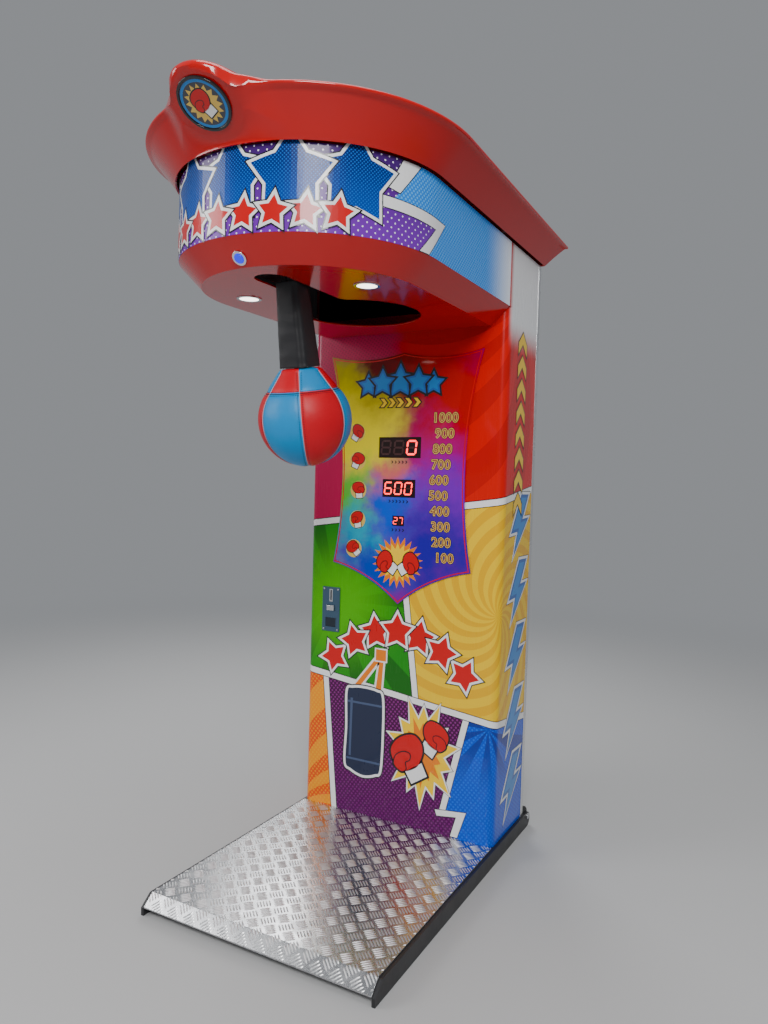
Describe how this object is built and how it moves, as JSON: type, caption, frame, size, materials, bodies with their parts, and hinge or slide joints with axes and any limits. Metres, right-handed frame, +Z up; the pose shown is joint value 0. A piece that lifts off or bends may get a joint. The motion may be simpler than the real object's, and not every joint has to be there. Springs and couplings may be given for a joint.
{
  "type": "boxing punch machine",
  "caption": "Free-standing strength tester: a cabinet with a round-fronted head overhanging a tread plate, and a hanging bag on an arm that swings up into the head.",
  "frame": {"origin": "on the floor, under the middle of the cabinet front face, on the underside of the cross tube there", "axes": "+Z up, +X to the right of a player who faces the machine, +Y into the machine, so the tread plate and the head are on the -Y side"},
  "size_m": [0.744, 1.1875, 1.751],
  "materials": {
    "black_steel": "satin black powder coat",
    "tread_aluminium": "five-bar tread plate",
    "zinc_steel": "bright zinc",
    "wheel_rubber": "matt",
    "printed_panel": "gloss printed film",
    "black_panel": "fine texture",
    "chrome": "polished",
    "trim_aluminium": "satin",
    "red_moulding": "high gloss",
    "printed_band": "printed, lit from behind",
    "lamp_strip": "white",
    "printed_badge": "printed",
    "black_gloss": "gloss",
    "lit_lens": "lit, frosted",
    "blue_lens": "lit",
    "display_gloss": "back-printed acrylic",
    "smoked_lens": "smoked",
    "circuit_board": "solder mask",
    "coin_steel": "satin",
    "black_plastic": "moulded",
    "buffer_rubber": "matt",
    "sleeve_leather": "vinyl leather",
    "bag_leather": "vinyl leather gores",
    "coil_black": "wound coil in a frame"
  },
  "bodies": {
    "cabinet": {"badge_face": "printed_badge", "badge_ring": "black_gloss", "base_frame": "black_steel", "cap_moulding": "red_moulding", "cash_box": "zinc_steel", "cash_shelf": "zinc_steel", "coin_chute": "black_plastic", "coin_mechanism": "black_plastic", "coin_plate": "coin_steel", "coin_plate_screws": "zinc_steel", "control_board": "circuit_board", "credit_display": "smoked_lens", "display_board": "circuit_board", "display_panel": "display_gloss", "door_hinge_frame_leaves": "zinc_steel", "door_hinge_pins": "zinc_steel", "downlight_bezels": "chrome", "downlight_lenses": "lit_lens", "equipment_plate": "zinc_steel", "front_panel": "printed_panel", "head_rim": "red_moulding", "high_score_display": "smoked_lens", "latch_coil": "coil_black", "latch_pin": "zinc_steel", "left_side_panel": "printed_panel", "mains_inlet": "black_plastic", "marquee_band": "printed_band", "marquee_lamp_strips": "lamp_strip", "mast_frame": "black_steel", "pivot_bearings": "zinc_steel", "pivot_brackets": "zinc_steel", "power_supply": "zinc_steel", "rear_corner_trims": "trim_aluminium", "rear_sill": "black_panel", "rear_upper_panel": "black_panel", "right_side_panel": "printed_panel", "score_display": "smoked_lens", "speaker": "black_plastic", "speed_sensor": "black_plastic", "start_button_housing": "chrome", "stop_buffers": "buffer_rubber", "tread_plate": "tread_aluminium", "tread_screws": "zinc_steel", "wheel_axles": "zinc_steel"},
    "arm": {"swing_arm": "black_steel", "pivot_shaft": "zinc_steel", "arm_sleeve": "sleeve_leather", "punch_bag": "bag_leather", "encoder_disc": "zinc_steel"},
    "start_button": {"start_button_cap": "blue_lens"},
    "reject_button": {"coin_reject_button": "coin_steel"},
    "return_flap": {"coin_return_flap": "coin_steel"},
    "service_door": {"rear_door": "black_panel", "door_hinge_door_leaves": "zinc_steel", "door_lock_barrel": "chrome"},
    "lock_cam": {"door_lock_cam": "zinc_steel"},
    "wheel_left": {"transport_wheel_left": "wheel_rubber"},
    "wheel_right": {"transport_wheel_right": "wheel_rubber"},
    "latch": {"latch_hook": "zinc_steel"},
    "plunger": {"latch_plunger": "zinc_steel"}
  },
  "joints": [
    {"name": "bag_swing", "type": "hinge", "parent": "cabinet", "child": "arm", "pos_m": [0, -0.551, 1.48], "axis": [1, 0, 0], "range_deg": [0, 93]},
    {"name": "start_button_press", "type": "slide", "parent": "cabinet", "child": "start_button", "axis": [0, 0.7144, 0.6998], "range_m": [0, 0.003], "stiffness_N_per_m": 500, "springref_m": -0.001},
    {"name": "reject_button_press", "type": "slide", "parent": "cabinet", "child": "reject_button", "axis": [0, 1, 0], "range_m": [0, 0.003], "stiffness_N_per_m": 500, "springref_m": -0.001},
    {"name": "return_flap_swing", "type": "hinge", "parent": "cabinet", "child": "return_flap", "pos_m": [-0.2205, -0.00175, 0.6051], "axis": [1, 0, 0], "range_deg": [0, 60]},
    {"name": "service_door_swing", "type": "hinge", "parent": "cabinet", "child": "service_door", "pos_m": [-0.2925, 0.254, 0.61], "axis": [0, 0, 1], "range_deg": [0, 110]},
    {"name": "lock_cam_turn", "type": "hinge", "parent": "service_door", "child": "lock_cam", "pos_m": [0.267, 0.235, 0.62], "axis": [0, 1, 0], "range_deg": [0, 90]},
    {"name": "wheel_left_spin", "type": "hinge", "parent": "cabinet", "child": "wheel_left", "pos_m": [-0.29, 0.279, 0.031], "axis": [1, 0, 0], "continuous": true},
    {"name": "wheel_right_spin", "type": "hinge", "parent": "cabinet", "child": "wheel_right", "pos_m": [0.29, 0.279, 0.031], "axis": [1, 0, 0], "continuous": true},
    {"name": "latch_turn", "type": "hinge", "parent": "cabinet", "child": "latch", "pos_m": [0, -0.611, 1.454], "axis": [-1, 0, 0], "range_deg": [0, 25]},
    {"name": "plunger_slide", "type": "slide", "parent": "cabinet", "child": "plunger", "axis": [0, 1, 0], "range_m": [0, 0.00436]}
  ],
  "couplings": [
    {"joint": "latch_turn", "follows": "plunger_slide", "rad_per_m": 100}
  ]
}
